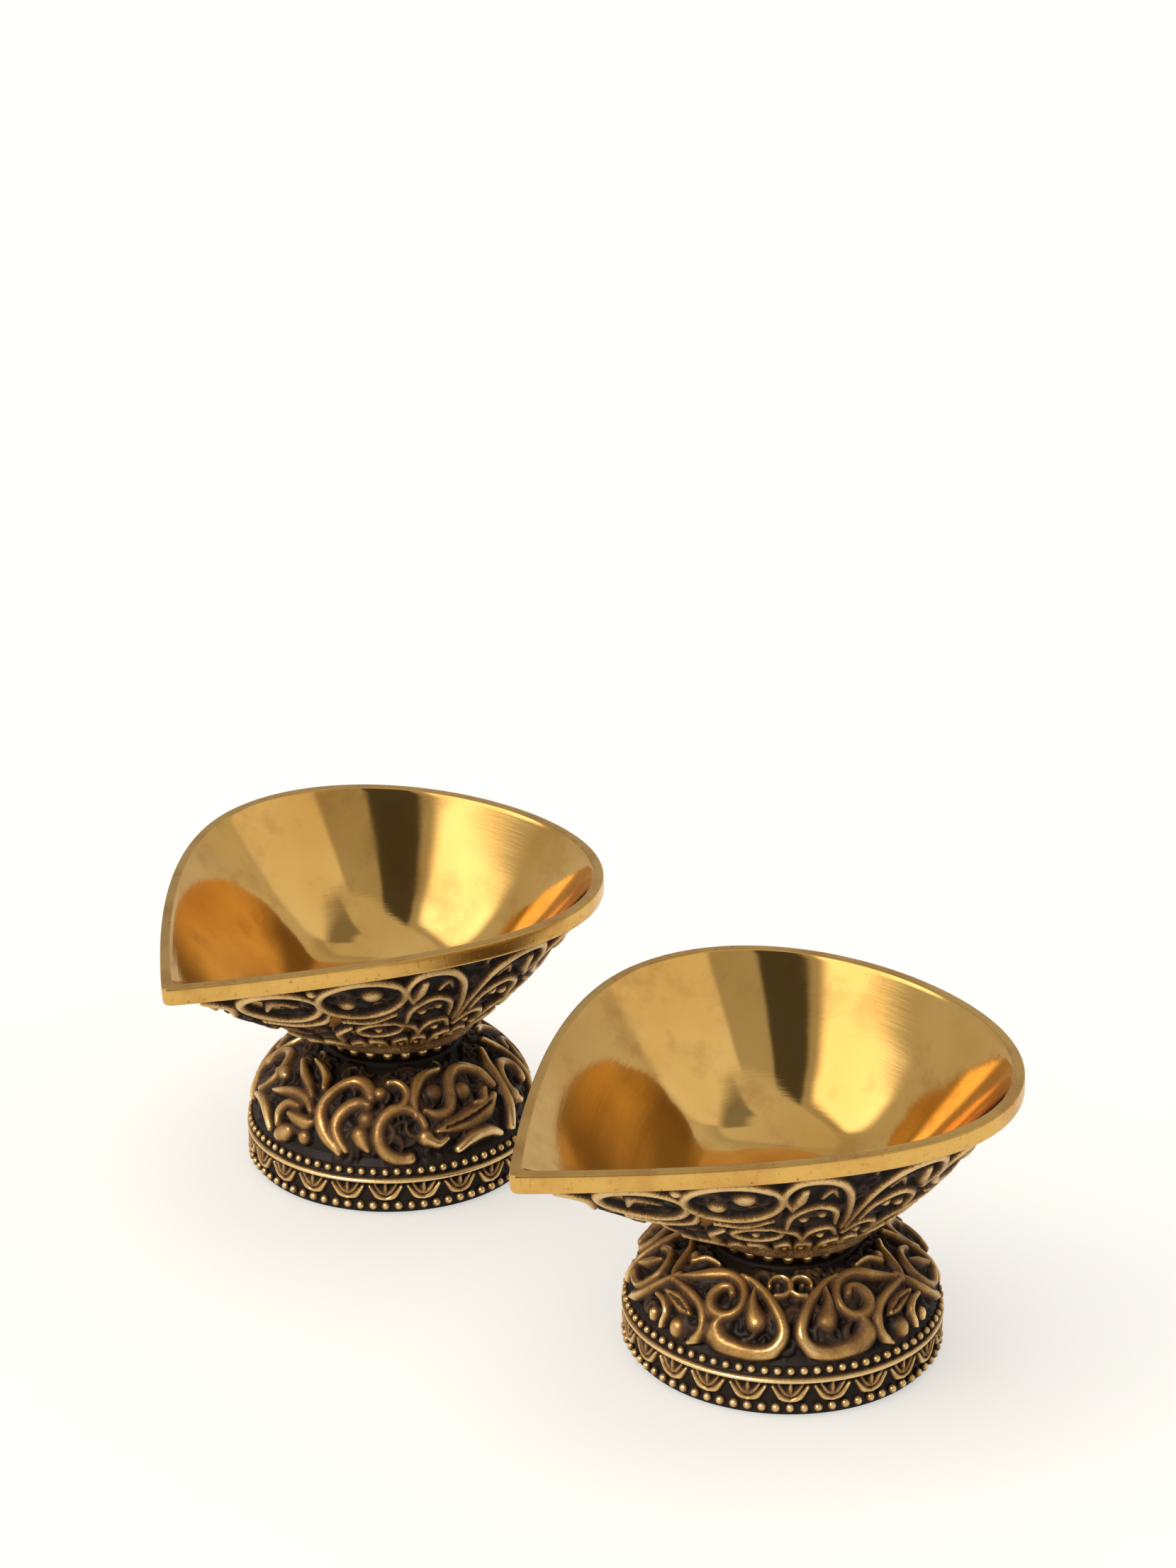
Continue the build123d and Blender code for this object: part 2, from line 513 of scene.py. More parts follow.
def face_outward(mesh: bpy.types.Mesh) -> None:
    """Turns a closed mesh's faces over when they look inward.

    Args:
        mesh: the closed mesh.
    """
    count = len(mesh.polygons)
    middles, normals, areas = np.empty(count * 3), np.empty(count * 3), np.empty(count)
    mesh.polygons.foreach_get("center", middles)
    mesh.polygons.foreach_get("normal", normals)
    mesh.polygons.foreach_get("area", areas)
    if (middles * normals).reshape(-1, 3).sum(1) @ areas < 0.0:
        mesh.flip_normals()


def full_circle(count: int) -> np.ndarray:
    """Evenly spread angles round a circle."""
    return np.arange(count) * (2 * math.pi / count)


def ring_rows(profile: Iterable[tuple[float, float]], angle: np.ndarray) -> np.ndarray:
    """Turns a profile of (radius, height) into rows round the Z axis.

    Args:
        profile: the profile's points.
        angle: each column's angle.

    Returns:
        An array of rows by columns by three.
    """
    radius, height = np.array(list(profile), float).T
    flat = np.stack([np.cos(angle), np.sin(angle)], -1)
    return np.dstack([radius[:, None, None] * flat, np.repeat(height[:, None], len(angle), 1)])


def eased_ring(
    inner: float, outer: float, low: float, high: float, ease: float
) -> list[tuple[float, float]]:
    """The profile of a flat ring with eased edges.

    Args:
        inner: the hole's radius.
        outer: the ring's radius.
        low: its lower face.
        high: its upper face.
        ease: how far the edges are cut back.

    Returns:
        The profile, as (radius, height).
    """
    return [
        (inner, low + ease), (inner + ease, low), (outer - ease, low), (outer, low + ease),
        (outer, high - ease), (outer - ease, high), (inner + ease, high), (inner, high - ease),
    ]


def smooth_path(points: Iterable[tuple[float, ...]], count: int) -> np.ndarray:
    """A smooth line through a few points, evenly spread in its parameter.

    Args:
        points: the points, at least two.
        count: how many places to return.

    Returns:
        An array of places on a Catmull-Rom curve.
    """
    knots = np.array(list(points), float)
    knots = np.vstack([2 * knots[0] - knots[1], knots, 2 * knots[-1] - knots[-2]])
    where = np.linspace(0, len(knots) - 3, count)
    span = np.minimum(where.astype(int), len(knots) - 4)
    t = (where - span)[:, None]
    a, b, c, d = (knots[span + k] for k in range(4))
    return 0.5 * (2 * b + (c - a) * t + (2 * a - 5 * b + 4 * c - d) * t**2
                  + (3 * b - a - 3 * c + d) * t**3)


def blurred(grid: np.ndarray, reach: int) -> np.ndarray:
    """A soft average of a grid whose columns wrap.

    Args:
        grid: the grid.
        reach: half the width of the average, in cells.

    Returns:
        The averaged grid.
    """
    width = 2 * reach + 1
    for _ in range(2):
        for axis, edge in ((0, "edge"), (1, "wrap")):
            pads = [(0, 0), (0, 0)]
            pads[axis] = (reach, reach)
            total = np.insert(np.cumsum(np.pad(grid, pads, edge), axis=axis), 0, 0.0, axis=axis)
            high = np.take(total, range(width, total.shape[axis]), axis=axis)
            low = np.take(total, range(total.shape[axis] - width), axis=axis)
            grid = (high - low) / width
    return grid


# Ornament --------------------------------------------------------------------------------------


@dataclass(frozen=True)
class Ribbon:
    """A raised stem or leaf along a smooth line; its half width follows a list of widths."""

    path: tuple[tuple[float, float], ...]
    widths: tuple[float, ...]
    tall: float = 1.0
    groove: bool = False

    def beads(self, scale: float) -> np.ndarray:
        """Closely spaced (column, height, half width, tall) along the ribbon.

        Args:
            scale: millimetres to one unit of column here.

        Returns:
            One row for each place along the ribbon.
        """
        knots = np.array(self.path)
        length = np.hypot(np.diff(knots[:, 0]) * scale, np.diff(knots[:, 1])).sum()
        count = max(int(length / 0.12), 4)
        line = smooth_path(self.path, count)
        share = np.linspace(0, 1, count)
        width = np.interp(share, np.linspace(0, 1, len(self.widths)), self.widths)
        return np.column_stack([line, width, np.full(count, self.tall)])

    def mirrored(self, column: float) -> "Ribbon":
        """The same ribbon on the other side of a column."""
        return replace(self, path=tuple((2 * column - x, y) for x, y in self.path))


@dataclass(frozen=True)
class Scroll:
    """A raised arc or spiral round a centre, its radius running from the first to the last."""

    centre: tuple[float, float]
    radii: tuple[float, ...]
    turn: tuple[float, float]
    widths: tuple[float, ...]
    tall: float = 1.0
    stretch: float = 1.0

    def beads(self, scale: float) -> np.ndarray:
        """Closely spaced (column, height, half width, tall) along the scroll.

        Args:
            scale: millimetres to one unit of column here.

        Returns:
            One row for each place along the scroll.
        """
        sweep = math.radians(abs(self.turn[1] - self.turn[0]))
        count = max(int(sweep * max(self.radii) * max(self.stretch, 1) / 0.12), 6)
        share = np.linspace(0, 1, count)
        radius = np.interp(share, np.linspace(0, 1, len(self.radii)), self.radii)
        angle = np.radians(self.turn[0] + (self.turn[1] - self.turn[0]) * share)
        x = self.centre[0] + radius * np.cos(angle) * self.stretch / scale
        y = self.centre[1] + radius * np.sin(angle)
        width = np.interp(share, np.linspace(0, 1, len(self.widths)), self.widths)
        return np.column_stack([x, y, width, np.full(count, self.tall)])

    def mirrored(self, column: float) -> "Scroll":
        """The same scroll on the other side of a column."""
        centre = (2 * column - self.centre[0], self.centre[1])
        return replace(self, centre=centre, turn=(180 - self.turn[0], 180 - self.turn[1]))


@dataclass(frozen=True)
class Boss:
    """A raised round boss."""

    centre: tuple[float, float]
    radius: float
    tall: float = 1.0

    def beads(self, scale: float) -> np.ndarray:
        """The boss as one (column, height, half width, tall)."""
        return np.array([[*self.centre, self.radius, self.tall]])

    def mirrored(self, column: float) -> "Boss":
        """The same boss on the other side of a column."""
        return replace(self, centre=(2 * column - self.centre[0], self.centre[1]))


Shape = Ribbon | Scroll | Boss


@dataclass
class Relief:
    """Ornament heights over an unrolled surface whose columns wrap.

    columns holds each column's place and heights each row's, in mm; scales holds, for each row,
    the millimetres that one unit of column takes there.
    """

    columns: np.ndarray
    heights: np.ndarray
    scales: np.ndarray
    depth: float
    crown: float = 0.5

    def raise_shapes(self, shapes: Iterable[Shape]) -> np.ndarray:
        """Carves a list of shapes.

        Args:
            shapes: ribbons, scrolls and bosses; a groove cuts into what the others raised.

        Returns:
            The grid of heights above the ground, in mm.
        """
        ground = np.zeros((len(self.heights), len(self.columns)))
        cuts = np.zeros_like(ground)
        for shape in shapes:
            grid = cuts if isinstance(shape, Ribbon) and shape.groove else ground
            for bead in self.beads(shape):
                self.press(grid, *bead)
        return np.maximum(ground - cuts * (ground > 0), 0.0)

    def beads(self, shape: Shape) -> np.ndarray:
        """A shape's beads, measured at the row of its middle."""
        middle = shape.path[len(shape.path) // 2] if isinstance(shape, Ribbon) else shape.centre
        return shape.beads(float(np.interp(middle[1], self.heights, self.scales)))

    def press(self, grid: np.ndarray, column: float, height: float, width: float, tall: float) -> None:
        """Raises one round bead on a grid, where it is higher than what is there.

        Args:
            grid: the grid of heights, changed in place.
            column: the bead's column.
            height: its height, in mm.
            width: half its width, in mm.
            tall: how high it stands, as a share of the full depth.
        """
        first, last = np.searchsorted(self.heights, (height - width, height + width))
        if first == last:
            return
        scales = self.scales[first:last]
        step = self.columns[1] - self.columns[0]
        reach = int(width / scales.min() / step) + 1
        centre = int(round((column - self.columns[0]) / step))
        picked = np.arange(centre - reach, centre + reach + 1)
        across = (self.columns[0] + picked * step - column)[None, :] * scales[:, None]
        up = (self.heights[first:last] - height)[:, None]
        share = 1.0 - (across**2 + up**2) / width**2
        raised = self.depth * tall * np.maximum(share, 0.0) ** self.crown
        around = picked % len(self.columns)
        grid[first:last, around] = np.maximum(grid[first:last, around], raised)


def rubbed_marks(height: np.ndarray, depth: float, reach: int) -> dict[str, np.ndarray]:
    """The marks that the patina reads: how high a place is and how far it stands proud.

    Args:
        height: the grid of relief heights, in mm.
        depth: the greatest height.
        reach: the width of the neighbourhood that a place is compared with, in cells.

    Returns:
        The rise and wear grids, each 0 to 1.
    """
    near = (height - blurred(height, reach)) / depth
    wide = (height - blurred(height, reach * 3)) / depth
    wear = 0.20 + 0.55 * near + 0.75 * wide + 0.10 * height / depth
    return {"rise": np.clip(height / depth, 0, 1), "wear": np.clip(wear, 0, 1)}


# Pieces ----------------------------------------------------------------------------------------


@dataclass(frozen=True)
class Outline:
    """A closed pear-shaped curve with its tip at +X: half of it is two Bezier curves."""

    back: float
    half: float
    widest: float
    tip: float
    nose: float
    back_handle: float
    rear_handle: float
    fore_handle: float
    tip_handle: float

    @staticmethod
    def circle(radius: float) -> "Outline":
        """A round outline written in the same numbers as the rim."""
        handle = 0.5523 * radius
        return Outline(radius, radius, 0.0, radius, 90.0, handle, handle, handle, handle)

    def toward(self, other: "Outline", share: float) -> "Outline":
        """The outline a share of the way to another one."""
        pairs = zip(vars(self).values(), vars(other).values())
        return Outline(*(a + (b - a) * share for a, b in pairs))

    def points(self, where: np.ndarray) -> np.ndarray:
        """Places on the curve.

        Args:
            where: -1 to 1, with 0 at the tip and both ends at the back.

        Returns:
            An array of (x, y).
        """
        nose = math.radians(self.nose)
        fore = np.array([
            (self.tip, 0.0),
            (self.tip - self.tip_handle * math.cos(nose), self.tip_handle * math.sin(nose)),
            (self.widest + self.fore_handle, self.half),
            (self.widest, self.half),
        ])
        rear = np.array([
            (self.widest, self.half),
            (self.widest - self.rear_handle, self.half),
            (-self.back, self.back_handle),
            (-self.back, 0.0),
        ])
        ahead = np.abs(where) < 0.5
        t = np.where(ahead, np.abs(where) * 2, np.abs(where) * 2 - 1)[:, None]
        knots = np.where(ahead[:, None, None], fore[None], rear[None])
        curve = ((1 - t)**3 * knots[:, 0] + 3 * (1 - t)**2 * t * knots[:, 1]
                 + 3 * (1 - t) * t**2 * knots[:, 2] + t**3 * knots[:, 3])
        return curve * np.stack([np.ones_like(where), np.where(where < 0, -1.0, 1.0)], -1)


@dataclass
class Lamp:
    """Where one lamp stands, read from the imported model, and the palette it shares."""

    name: str
    yaw: float
    dome_facing: float
    finishes: dict[str, bpy.types.Material]
    relief: bpy.types.Collection
    axis: np.ndarray = field(init=False)

    def __post_init__(self) -> None:
        """Finds the upright axis's place on the table, in mm."""
        low, high = self.box("pedestal")
        self.axis = np.array([(low.x + high.x) / 2, (low.y + high.y) / 2, 0.0])

    def node(self, piece: str) -> str:
        """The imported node's name of one of this lamp's pieces."""
        return f"{self.name}_{piece}"

    def box(self, piece: str) -> tuple[Vector, Vector]:
        """A piece's lowest and highest corners, in mm."""
        low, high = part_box(self.node(piece))
        return low / MM, high / MM

    def placed(self, places: np.ndarray, turn: float) -> np.ndarray:
        """Turns places about the lamp's axis and carries them to where it stands.

        Args:
            places: an array whose last axis is x, y, z, in the lamp's own frame.
            turn: degrees from +X.

        Returns:
            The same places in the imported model's frame.
        """
        c, s = math.cos(math.radians(turn)), math.sin(math.radians(turn))
        turned = places @ np.array([[c, s, 0.0], [-s, c, 0.0], [0.0, 0.0, 1.0]])
        return turned + self.axis

    def add(
        self, piece: str, skins: list[Skin], slot: str, finish: str, stands_for: str, turn: float = 0.0
    ) -> None:
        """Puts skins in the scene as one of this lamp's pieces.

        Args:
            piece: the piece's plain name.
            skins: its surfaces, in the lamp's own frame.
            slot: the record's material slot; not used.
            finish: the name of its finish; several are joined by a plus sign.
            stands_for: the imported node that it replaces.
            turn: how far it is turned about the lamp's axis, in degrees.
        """
        mesh = joined_mesh(replace(skin, rows=self.placed(skin.rows, turn)) for skin in skins)
        mesh.name = self.node(piece)
        item = bpy.data.objects.new(f"{self.node(piece)}_skin", mesh)
        bpy.context.scene.collection.objects.link(item)
        if finish.startswith("antique"):
            self.relief.objects.link(item)
        for name in finish.split("+"):
            mesh.materials.append(self.finishes[name])
        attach(item, f"{self.name}_lamp")
        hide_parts(self.node(stands_for))
        LOG.info("%s: %d faces", item.name, len(mesh.polygons))


@dataclass
class Bowl:
    """The cup, its smooth rim band and its relief-cast outside with the foot ring."""

    lamp: Lamp
    columns: int = 760
    back: float = 27.2
    half: float = 33.8
    widest: float = -1.9
    tip: float = 50.0
    nose: float = 45.0
    band: float = 2.7
    band_proud: float = 0.8
    lip: float = 1.5
    fall: float = 3.3
    height: float = 25.8
    floor: float = 5.1
    foot_radius: float = 13.0
    foot_height: float = 1.6
    wall_length: float = 30.0
    relief_depth: float = 1.35
    cup_round: float = 26.0
    hollow: tuple[tuple[float, float], ...] = (
        (0.0, 0.0), (0.2, 0.004), (0.38, 0.03), (0.52, 0.12), (0.66, 0.32), (0.8, 0.58),
        (0.9, 0.785), (1.0, 1.0),
    )

    def __post_init__(self) -> None:
        """Spreads the columns evenly along the rim."""
        self.foot_z = self.lamp.box("beaded_collar")[1].z
        self.band_z = self.foot_z + self.height - self.band
        fine = np.linspace(-1, 1, 8001)
        line = self.rim(self.band_proud).points(fine)
        length = np.concatenate([[0], np.cumsum(np.hypot(*np.diff(line, axis=0).T))])
        self.around = length[-1]
        self.places = (np.arange(self.columns) / self.columns - 0.5) * self.around
        self.where = np.interp(self.places + self.around / 2, length, fine)

    def rim(self, inset: float) -> Outline:
        """The rim's outline moved inwards.

        Args:
            inset: how far, in mm.

        Returns:
            The outline.
        """
        reach = self.tip - self.widest - inset
        return Outline(
            self.back - inset, self.half - inset, self.widest,
            self.tip - inset / math.sin(math.radians(self.nose)), self.nose,
            0.53 * (self.half - inset), 0.63 * (self.back - inset + self.widest),
            0.32 * reach, 0.333 * reach,
        )

    def tilted(self, flat: np.ndarray, level: float, rise: float, dip: float) -> np.ndarray:
        """Lifts an outline's points onto a plane that dips towards the spout, easing its tip.

        Args:
            flat: an array of (x, y).
            level: the height of the plane on the axis.
            rise: how far above the plane, square to it.
            dip: the dip in degrees.

        Returns:
            An array of (x, y, z).
        """
        c, s = math.cos(math.radians(dip)), math.sin(math.radians(dip))
        for _ in range(3):
            flat = sum(np.roll(flat, step, 0) for step in range(-3, 4)) / 7
        x, y = flat[:, 0], flat[:, 1]
        return np.stack([x * c + rise * s, y, level - x * s + rise * c], -1)

    def band_row(self, inset: float, rise: float) -> np.ndarray:
        """A row round the rim band at an inset and a height above the band's lower edge."""
        return self.tilted(self.rim(inset).points(self.where), self.band_z, rise, self.fall)

    def wall_row(self, share: float, depth: float) -> np.ndarray:
        """A row of the outside wall.

        Args:
            share: how far up it is, from the foot at 0 to the band at 1.
            depth: how far it is set in, in mm.

        Returns:
            The row.
        """
        outline = Outline.circle(self.foot_radius - 0.6 - depth).toward(
            self.rim(self.band_proud + depth), share)
        rise = share**1.25
        low = self.foot_z + self.foot_height / 2
        level = low + (self.band_z + 0.5 - low) * rise
        return self.tilted(outline.points(self.where), level, 0.0, self.fall * rise)

    def cup_row(self, share: float, inset: float) -> np.ndarray:
        """A row of the polished inside.

        Args:
            share: how far out it is, from the middle of the floor at 0 to the lip at 1.
            inset: how far the lip's row is from the rim's outside, in mm.

        Returns:
            The row.
        """
        outline = Outline.circle(self.cup_round).toward(self.rim(inset), share**0.8)
        line = smooth_path(self.hollow, 400)
        rise = float(np.interp(share, line[:, 0], line[:, 1]))
        low = self.foot_z + self.floor - 0.2
        level = low + (self.band_z - low) * rise
        flat = outline.points(self.where) * share
        return self.tilted(flat, level, (self.band - 0.12) * rise, self.fall * rise)

    def build_cup(self) -> None:
        """The mirror inside, the lip and the rim band, closed behind the relief."""
        inside = [self.cup_row(share, self.lip + 0.12) for share in np.linspace(0.01, 1, 96)]
        band = self.band
        edge = [
            (self.lip + 0.03, band - 0.03), (self.lip - 0.16, band), (self.lip * 0.5, band - 0.01),
            (0.28, band - 0.03), (0.10, band - 0.08), (0.01, band - 0.30), (0.0, band * 0.66),
            (0.0, band * 0.33), (0.02, 0.32), (0.12, 0.08), (0.34, 0.0), (self.band_proud + 1.2, 0.0),
        ]
        lip = [self.band_row(inset, rise) for inset, rise in edge]
        back = [self.wall_row(share, 1.8) for share in np.linspace(0.97, 0.0, 12)]
        rows = np.stack(inside + lip + back)
        angle = np.arctan2(rows[..., 1], rows[..., 0])
        step = np.linalg.norm(np.diff(rows, axis=0), axis=-1).mean(1)
        travel = np.concatenate([[0], np.cumsum(step)])[:, None] * 0.02
        lay = np.stack([np.cos(angle), np.sin(angle), np.broadcast_to(travel, angle.shape)], -1)
        polished = len(inside)
        skin = Skin(rows, marks={"lay": lay}, bands=((0, polished), (polished, len(rows))))
        self.lamp.add("cup", [skin], "polished_brass", "mirror+satin", "bowl", self.lamp.yaw)

    def half_ornament(self) -> list[Shape]:
        """The frieze from the spout to the back on one side.

        Returns:
            Its shapes, in mm along the rim and mm up.
        """
        shapes: list[Shape] = [
            Ribbon(((2.5, 27.0), (4.6, 24.6), (3.0, 21.5)), (0.6, 1.0, 0.5)),
            Scroll((12.4, 23.2), (4.3, 4.3), (30, 400), (0.75, 0.85, 0.7), stretch=1.25),
            Ribbon(((9.4, 22.6), (12.0, 24.8), (15.2, 23.4)), (0.4, 1.1, 0.4), 0.8),
            Ribbon(((6.0, 19.0), (11.0, 17.0), (17.0, 17.6), (19.5, 20.5)), (0.5, 0.8, 0.8, 0.4)),
            Boss((19.0, 26.6), 1.0),
            Boss((107.5, 24.0), 1.8),
        ]
        for loop, side in ((26.3, 1), (68.5, -1)):
            shapes += self.loop_group(loop, side)
        for axis in (47.4, 89.6):
            fan = self.fan_group(axis)
            shapes += fan + [shape.mirrored(axis) for shape in fan]
        for number in range(15):
            shapes += self.foot_curl(3.6 + 7.2 * number, number % 2 == 0)
        return shapes

    def loop_group(self, middle: float, side: int) -> list[Shape]:
        """An oval loop that holds two balls, with a smaller loop and a stem under it.

        Args:
            middle: its middle, in mm along the rim.
            side: 1, or -1 for the group turned over.

        Returns:
            Its shapes.
        """
        m, d = middle, side
        return [
            Scroll((m, 23.0), (4.7, 4.9), (35, 405), (0.8, 0.95, 0.8), stretch=1.35),
            Boss((m - 2.9 * d, 22.2), 1.7),
            Boss((m + 1.9 * d, 23.9), 2.0),
            Ribbon(((m - 5.5 * d, 17.2), (m, 16.0), (m + 5.8 * d, 17.6)), (0.4, 0.75, 0.4)),
            Scroll((m + 1.5 * d, 12.6), (2.3, 2.4), (60, 400), (0.6, 0.7, 0.5), stretch=1.5),
            Boss((m + 1.0 * d, 12.4), 0.9),
            Ribbon(((m + 5.0 * d, 14.6), (m + 10.0 * d, 12.2), (m + 12.5 * d, 8.2)), (0.4, 0.8, 0.5)),
            Ribbon(((m - 5.0 * d, 14.6), (m - 9.5 * d, 12.0), (m - 11.0 * d, 8.4)), (0.4, 0.8, 0.5)),
        ]

    def fan_group(self, axis: float) -> list[Shape]:
        """One side of a fan of arches that meet on an axis, with a ball in each hook.

        Args:
            axis: where they meet, in mm along the rim.

        Returns:
            Its shapes.
        """
        return [
            Ribbon(((axis - 11.8, 20.4), (axis - 13.0, 24.0), (axis - 10.6, 27.2), (axis - 6.0, 26.9),
                    (axis - 2.6, 23.4), (axis - 0.9, 17.5), (axis - 0.5, 12.5)),
                   (0.6, 0.8, 0.85, 0.9, 0.85, 0.75, 0.4)),
            Ribbon(((axis - 11.6, 21.0), (axis - 10.6, 22.6), (axis - 9.8, 25.0)), (0.7, 1.35, 0.8)),
            Ribbon(((axis - 13.0, 14.4), (axis - 11.6, 18.4), (axis - 7.6, 20.6), (axis - 3.8, 18.6),
                    (axis - 2.6, 14.5)), (0.5, 0.8, 0.85, 0.8, 0.4)),
            Boss((axis - 9.6, 17.0), 1.05),
            Boss((axis - 6.2, 18.0), 1.0),
            Ribbon(((axis - 7.0, 22.6), (axis - 5.6, 24.4), (axis - 4.4, 22.6)), (0.4, 0.8, 0.3), 0.8),
            Ribbon(((axis - 9.4, 8.6), (axis - 7.4, 12.4), (axis - 3.4, 13.2), (axis - 0.8, 10.4)),
                   (0.4, 0.75, 0.8, 0.5)),
            Boss((axis - 4.6, 10.4), 0.9),
        ]

    def foot_curl(self, column: float, leans: bool) -> list[Shape]:
        """A small hooked leaf just above the foot ring.

        Args:
            column: where it stands, in mm along the rim.
            leans: whether it hooks forward.

        Returns:
            Its shapes.
        """
        lean = 1.0 if leans else -1.0
        return [
            Ribbon(((column - 2.4 * lean, 2.4), (column - 1.6 * lean, 6.2), (column + 1.8 * lean, 7.4),
                    (column + 3.0 * lean, 4.8)), (0.35, 0.65, 0.7, 0.35)),
            Boss((column + 0.6 * lean, 4.0), 0.75, 0.9),
        ]

    def build_relief(self) -> None:
        """The ornamented outside wall, the foot ring and the tapped spigot."""
        rise = np.linspace(0.0, 1.0, 104)
        wall = np.stack([self.wall_row(share, 0.0) for share in rise])
        along = np.roll(wall, -1, 1) - np.roll(wall, 1, 1)
        upward = np.gradient(wall, axis=0)
        outward = np.cross(along, upward)
        outward /= np.linalg.norm(outward, axis=-1, keepdims=True)
        foot_share = 2 * math.pi * (self.foot_radius - 0.6) / self.around
        relief = Relief(self.places, rise * self.wall_length,
                        foot_share + (1 - foot_share) * rise, self.relief_depth)
        shapes = self.half_ornament() + filler((0, self.around / 2), (3, 29), 230, 9)
        height = relief.raise_shapes(shapes + [shape.mirrored(0.0) for shape in shapes])
        height[:3] *= np.array([0.0, 0.3, 0.8])[:, None]
        marks = rubbed_marks(height, self.relief_depth, 6)
        outside = wall - outward * (self.relief_depth - height)[..., None]
        angle = np.arctan2(wall[0, :, 1], wall[0, :, 0])
        inner = [self.wall_row(share, 2.0) for share in np.linspace(1.0, 0.0, 10)]
        ring = ring_rows(self.foot_profile(), angle)
        rows = np.concatenate([ring, outside, np.stack(inner)])
        for key, foot, hidden in (("rise", 0.75, 0.2), ("wear", 0.62, 0.2)):
            ends = np.full(ring.shape[:2], foot), np.full((len(inner), self.columns), hidden)
            marks[key] = np.concatenate([ends[0], marks[key], ends[1]])
        skin = Skin(rows, marks=marks)
        self.lamp.add("bowl_relief", [skin], "antique_brass", "antique_grainy", "bowl", self.lamp.yaw)

    def foot_profile(self) -> list[tuple[float, float]]:
        """The foot ring's outline from the tapped hole outwards.

        Returns:
            The profile, as (radius, height).
        """
        bore, spigot, drop, deep = 2.55, 5.9, -1.9, 3.3
        outer, top = self.foot_radius, self.foot_height
        profile = [
            (bore, deep), (bore, drop + 0.05), (bore + 0.05, drop), (spigot - 0.1, drop),
            (spigot, drop + 0.1), (spigot, -0.05), (spigot + 0.05, 0.0), (outer - 0.6, 0.0),
            (outer - 0.2, 0.12), (outer, 0.45), (outer, top - 0.5), (outer - 0.2, top - 0.12),
            (outer - 0.6, top), (outer - 1.3, top + 0.05),
        ]
        return [(radius, self.foot_z + height) for radius, height in profile]


def filler(
    columns: tuple[float, float], heights: tuple[float, float], count: int, seed: int
) -> list[Shape]:
    """Small low curls scattered in the ground behind the main scrolls.

    Args:
        columns: the range of columns.
        heights: the range of heights, in mm.
        count: how many curls.
        seed: for the scatter.

    Returns:
        The curls.
    """
    scatter = np.random.default_rng(seed)
    shapes: list[Shape] = []
    for _ in range(count):
        x, y = scatter.uniform(*columns), scatter.uniform(*heights)
        start, radius = scatter.uniform(0, 360), scatter.uniform(0.7, 1.7)
        turn = (start, start + scatter.choice((-1, 1)) * scatter.uniform(110, 240))
        width, tall = scatter.uniform(0.45, 0.95), scatter.uniform(0.35, 0.62)
        widths = (width * 0.6, width, width * 0.5)
        shapes.append(Scroll((x, y), (radius, radius * 0.8), turn, widths, tall))
    return shapes


def bead_row(
    ring: float, level: float, count: int, size: float, seed: int, turn: float = 0.0
) -> list[Skin]:
    """A row of cast beads, each a slightly uneven ball.

    Args:
        ring: the radius of the row, in mm.
        level: its height.
        count: how many beads.
        size: each bead's radius.
        seed: for the unevenness.
        turn: the first bead's angle in degrees.

    Returns:
        The beads.
    """
    rough = np.random.default_rng(seed)
    polar = np.linspace(0.12, math.pi - 0.12, 9)
    ball = ring_rows(zip(np.sin(polar), -np.cos(polar)), full_circle(14))
    beads = []
    for number in range(count):
        angle = math.radians(turn) + 2 * math.pi * number / count + rough.normal(0, 0.02) * size / ring
        unit = ball * size * (1 + rough.normal(0, 0.035, 3))
        c, s = math.cos(angle), math.sin(angle)
        centre = np.array([(ring + rough.normal(0, 0.03)) * c, ring * s, level + rough.normal(0, 0.03)])
        facing = ball @ np.array([c, s, 0.35])
        limits = (("rise", 0.45, 0.55), ("wear", 0.36, 0.58))
        marks = {key: np.clip(low + gain * facing, 0, 1) for key, low, gain in limits}
        beads.append(Skin(unit + centre, marks=marks))
    return beads


@dataclass
class Collar:
    """The plain ring under the bowl with a row of beads round its waist."""

    lamp: Lamp
    ring: float = 10.0
    beads: int = 24
    bead: float = 0.9
    bore: float = 5.95

    def build(self) -> None:
        """Makes the ring and its beads."""
        low, high = (corner.z for corner in self.lamp.box("beaded_collar"))
        profile = eased_ring(self.bore, self.ring - 0.2, low, high, 0.18)
        rows = ring_rows(profile, full_circle(180))
        rise = np.full(rows.shape[:2], 0.25)
        ring = Skin(rows, looped=True, marks={"rise": rise, "wear": rise * 0.6})
        beads = bead_row(self.ring, (low + high) / 2, self.beads, self.bead, 11)
        for piece, skins in (("collar_ring", [ring]), ("collar_beads", beads)):
            self.lamp.add(piece, skins, "antique_brass", "antique_fine", "beaded_collar")


